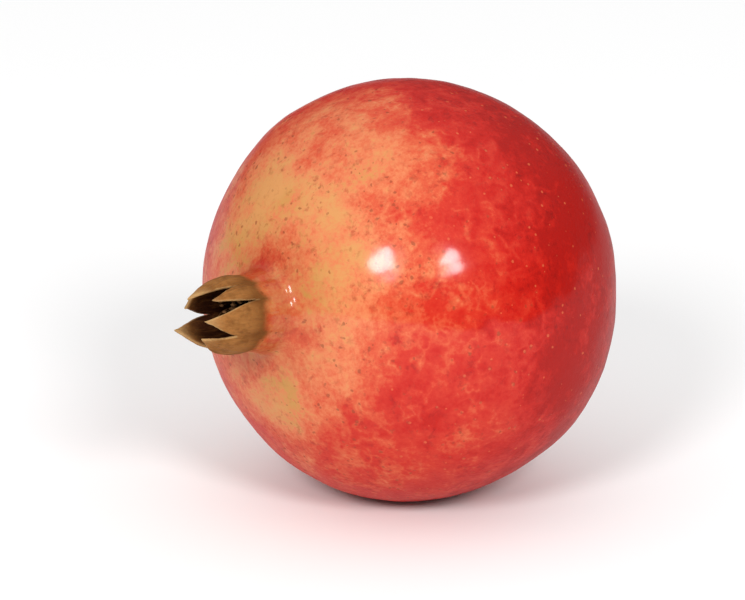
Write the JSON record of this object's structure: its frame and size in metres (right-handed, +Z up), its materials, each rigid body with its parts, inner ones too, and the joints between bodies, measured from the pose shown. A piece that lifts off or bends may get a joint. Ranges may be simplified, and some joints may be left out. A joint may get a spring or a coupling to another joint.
{
  "type": "pomegranate",
  "caption": "Whole fresh pomegranate lying on its side on a small flat spot, with its open crown, dried stamens and a cut stem stub",
  "frame": {"origin": "the middle of the small flat spot that the fruit rests on, under its centre of mass", "axes": "+Z is up. +X points from the stem end to the crown, level with the ground; the fruit's own axis rises 7 degrees towards the crown. +Y makes the frame right-handed."},
  "size_m": [0.1052, 0.0868, 0.0862],
  "materials": {
    "rind": "thin waxy fruit skin with a soft gloss, red over yellow, turning tan and dry on the crown",
    "stem": "dry woody stem, cut across",
    "stamens": "dried papery threads"
  },
  "bodies": {
    "root": {"fruit": "rind", "stem_stub": "stem", "stamens": "stamens"}
  },
  "joints": []
}
